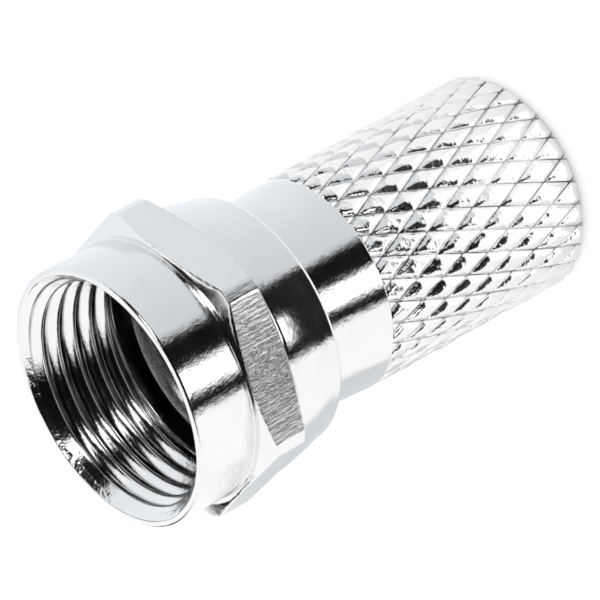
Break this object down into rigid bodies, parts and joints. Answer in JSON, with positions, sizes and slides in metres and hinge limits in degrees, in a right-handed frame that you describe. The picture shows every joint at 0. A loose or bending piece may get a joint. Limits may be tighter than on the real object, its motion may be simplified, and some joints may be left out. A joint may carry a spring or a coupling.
{
  "type": "twist-on f plug",
  "caption": "Twist-on F plug for coaxial aerial cable: a hexagonal threaded coupling nut turns on a diamond-knurled sleeve.",
  "frame": {"origin": "centre of the cable end's face, which the plug stands on", "axes": "+Z along the plug's axis, from the cable end towards the socket; one pair of the nut's corners lies along X"},
  "size_m": [0.0124, 0.011, 0.0207],
  "materials": {
    "nickel_nut": "bright nickel plate",
    "nickel_body": "bright nickel plate"
  },
  "bodies": {
    "body": {"cable_body": "nickel_body"},
    "nut": {"coupling_nut": "nickel_nut"}
  },
  "joints": [
    {"name": "nut_spin", "type": "hinge", "parent": "body", "child": "nut", "pos_m": [0, 0, 0.0138], "axis": [0, 0, 1], "continuous": true}
  ]
}
